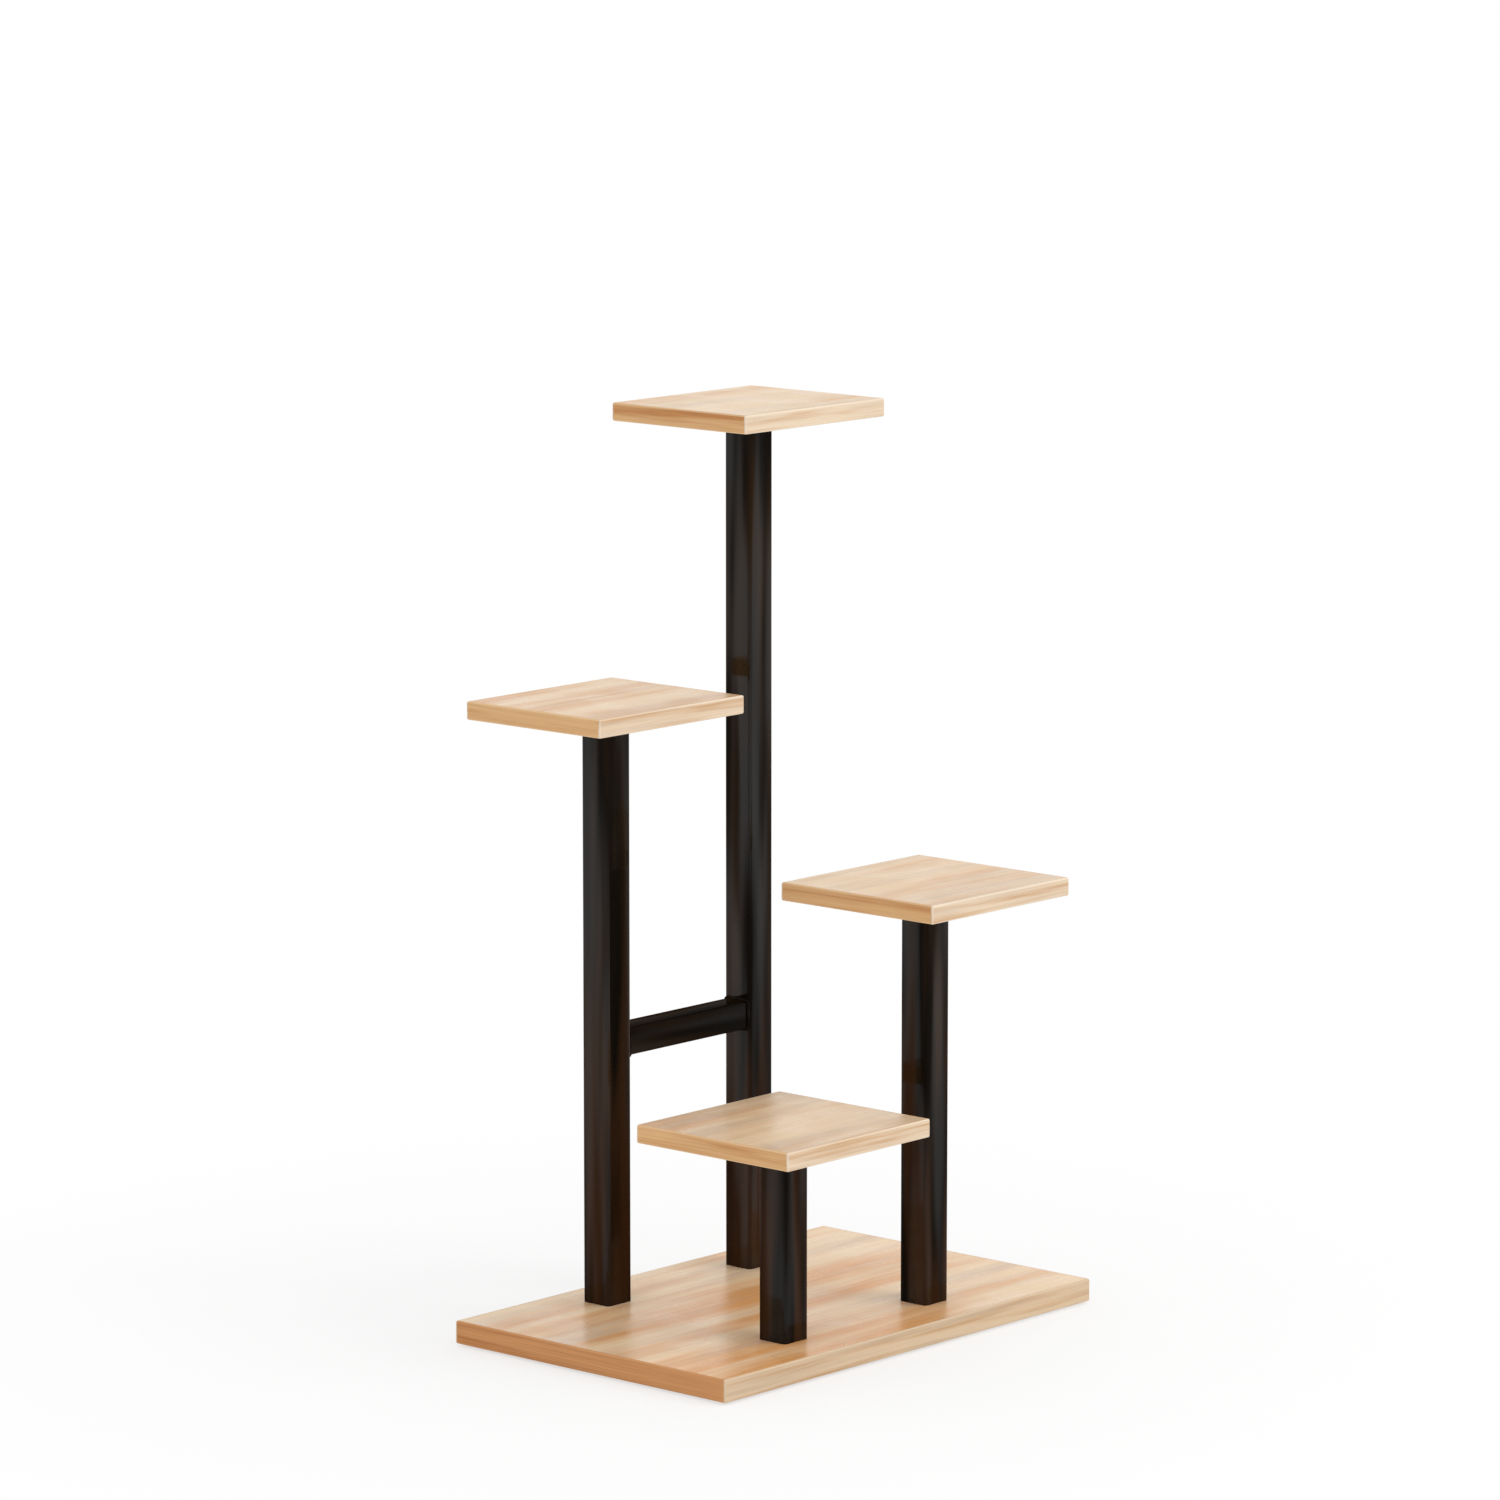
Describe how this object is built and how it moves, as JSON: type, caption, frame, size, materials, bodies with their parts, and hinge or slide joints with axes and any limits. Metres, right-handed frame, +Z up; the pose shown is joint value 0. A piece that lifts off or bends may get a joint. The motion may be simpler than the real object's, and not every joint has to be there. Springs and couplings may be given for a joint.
{
  "type": "plant shelf",
  "caption": "Free-standing plant shelf: pale wood base board, black square posts of stepped heights, a small wood shelf on each post and a crossbar between the rear posts.",
  "frame": {"origin": "on the floor under the middle of the base board, which is also the middle of the whole object in plan", "axes": "+X to the right along the base's long side, +Y to the rear, where the two tall posts stand, +Z up"},
  "size_m": [0.48, 0.365, 0.79],
  "materials": {
    "wood_board": "satin, pale wood-grain face on board",
    "edge_band": "satin, wood-grain edge band",
    "black_enamel": "gloss black baked paint",
    "zinc_steel": "zinc-plated",
    "black_foam": "matt foam rubber"
  },
  "bodies": {
    "root": {"base_board": "wood_board", "base_front_band": "edge_band", "base_rear_band": "edge_band", "base_left_band": "edge_band", "base_right_band": "edge_band", "front_left_shelf_board": "wood_board", "front_left_shelf_front_band": "edge_band", "front_left_shelf_rear_band": "edge_band", "front_left_shelf_left_band": "edge_band", "front_left_shelf_right_band": "edge_band", "front_right_shelf_board": "wood_board", "front_right_shelf_front_band": "edge_band", "front_right_shelf_rear_band": "edge_band", "front_right_shelf_left_band": "edge_band", "front_right_shelf_right_band": "edge_band", "rear_left_shelf_board": "wood_board", "rear_left_shelf_front_band": "edge_band", "rear_left_shelf_rear_band": "edge_band", "rear_left_shelf_left_band": "edge_band", "rear_left_shelf_right_band": "edge_band", "rear_right_shelf_board": "wood_board", "rear_right_shelf_front_band": "edge_band", "rear_right_shelf_rear_band": "edge_band", "rear_right_shelf_left_band": "edge_band", "rear_right_shelf_right_band": "edge_band", "front_left_post": "black_enamel", "front_left_foot_plate": "black_enamel", "front_left_top_plate": "black_enamel", "front_left_plate_weld": "black_enamel", "front_right_post": "black_enamel", "front_right_foot_plate": "black_enamel", "front_right_top_plate": "black_enamel", "front_right_plate_weld": "black_enamel", "rear_left_post": "black_enamel", "rear_left_foot_plate": "black_enamel", "rear_left_top_plate": "black_enamel", "rear_left_plate_weld": "black_enamel", "rear_right_post": "black_enamel", "rear_right_foot_plate": "black_enamel", "rear_right_top_plate": "black_enamel", "rear_right_plate_weld": "black_enamel", "crossbar": "black_enamel", "crossbar_welds": "black_enamel", "base_bolts": "zinc_steel", "base_washers": "zinc_steel", "weld_nuts": "zinc_steel", "shelf_screws": "zinc_steel", "floor_pads": "black_foam"}
  },
  "joints": []
}
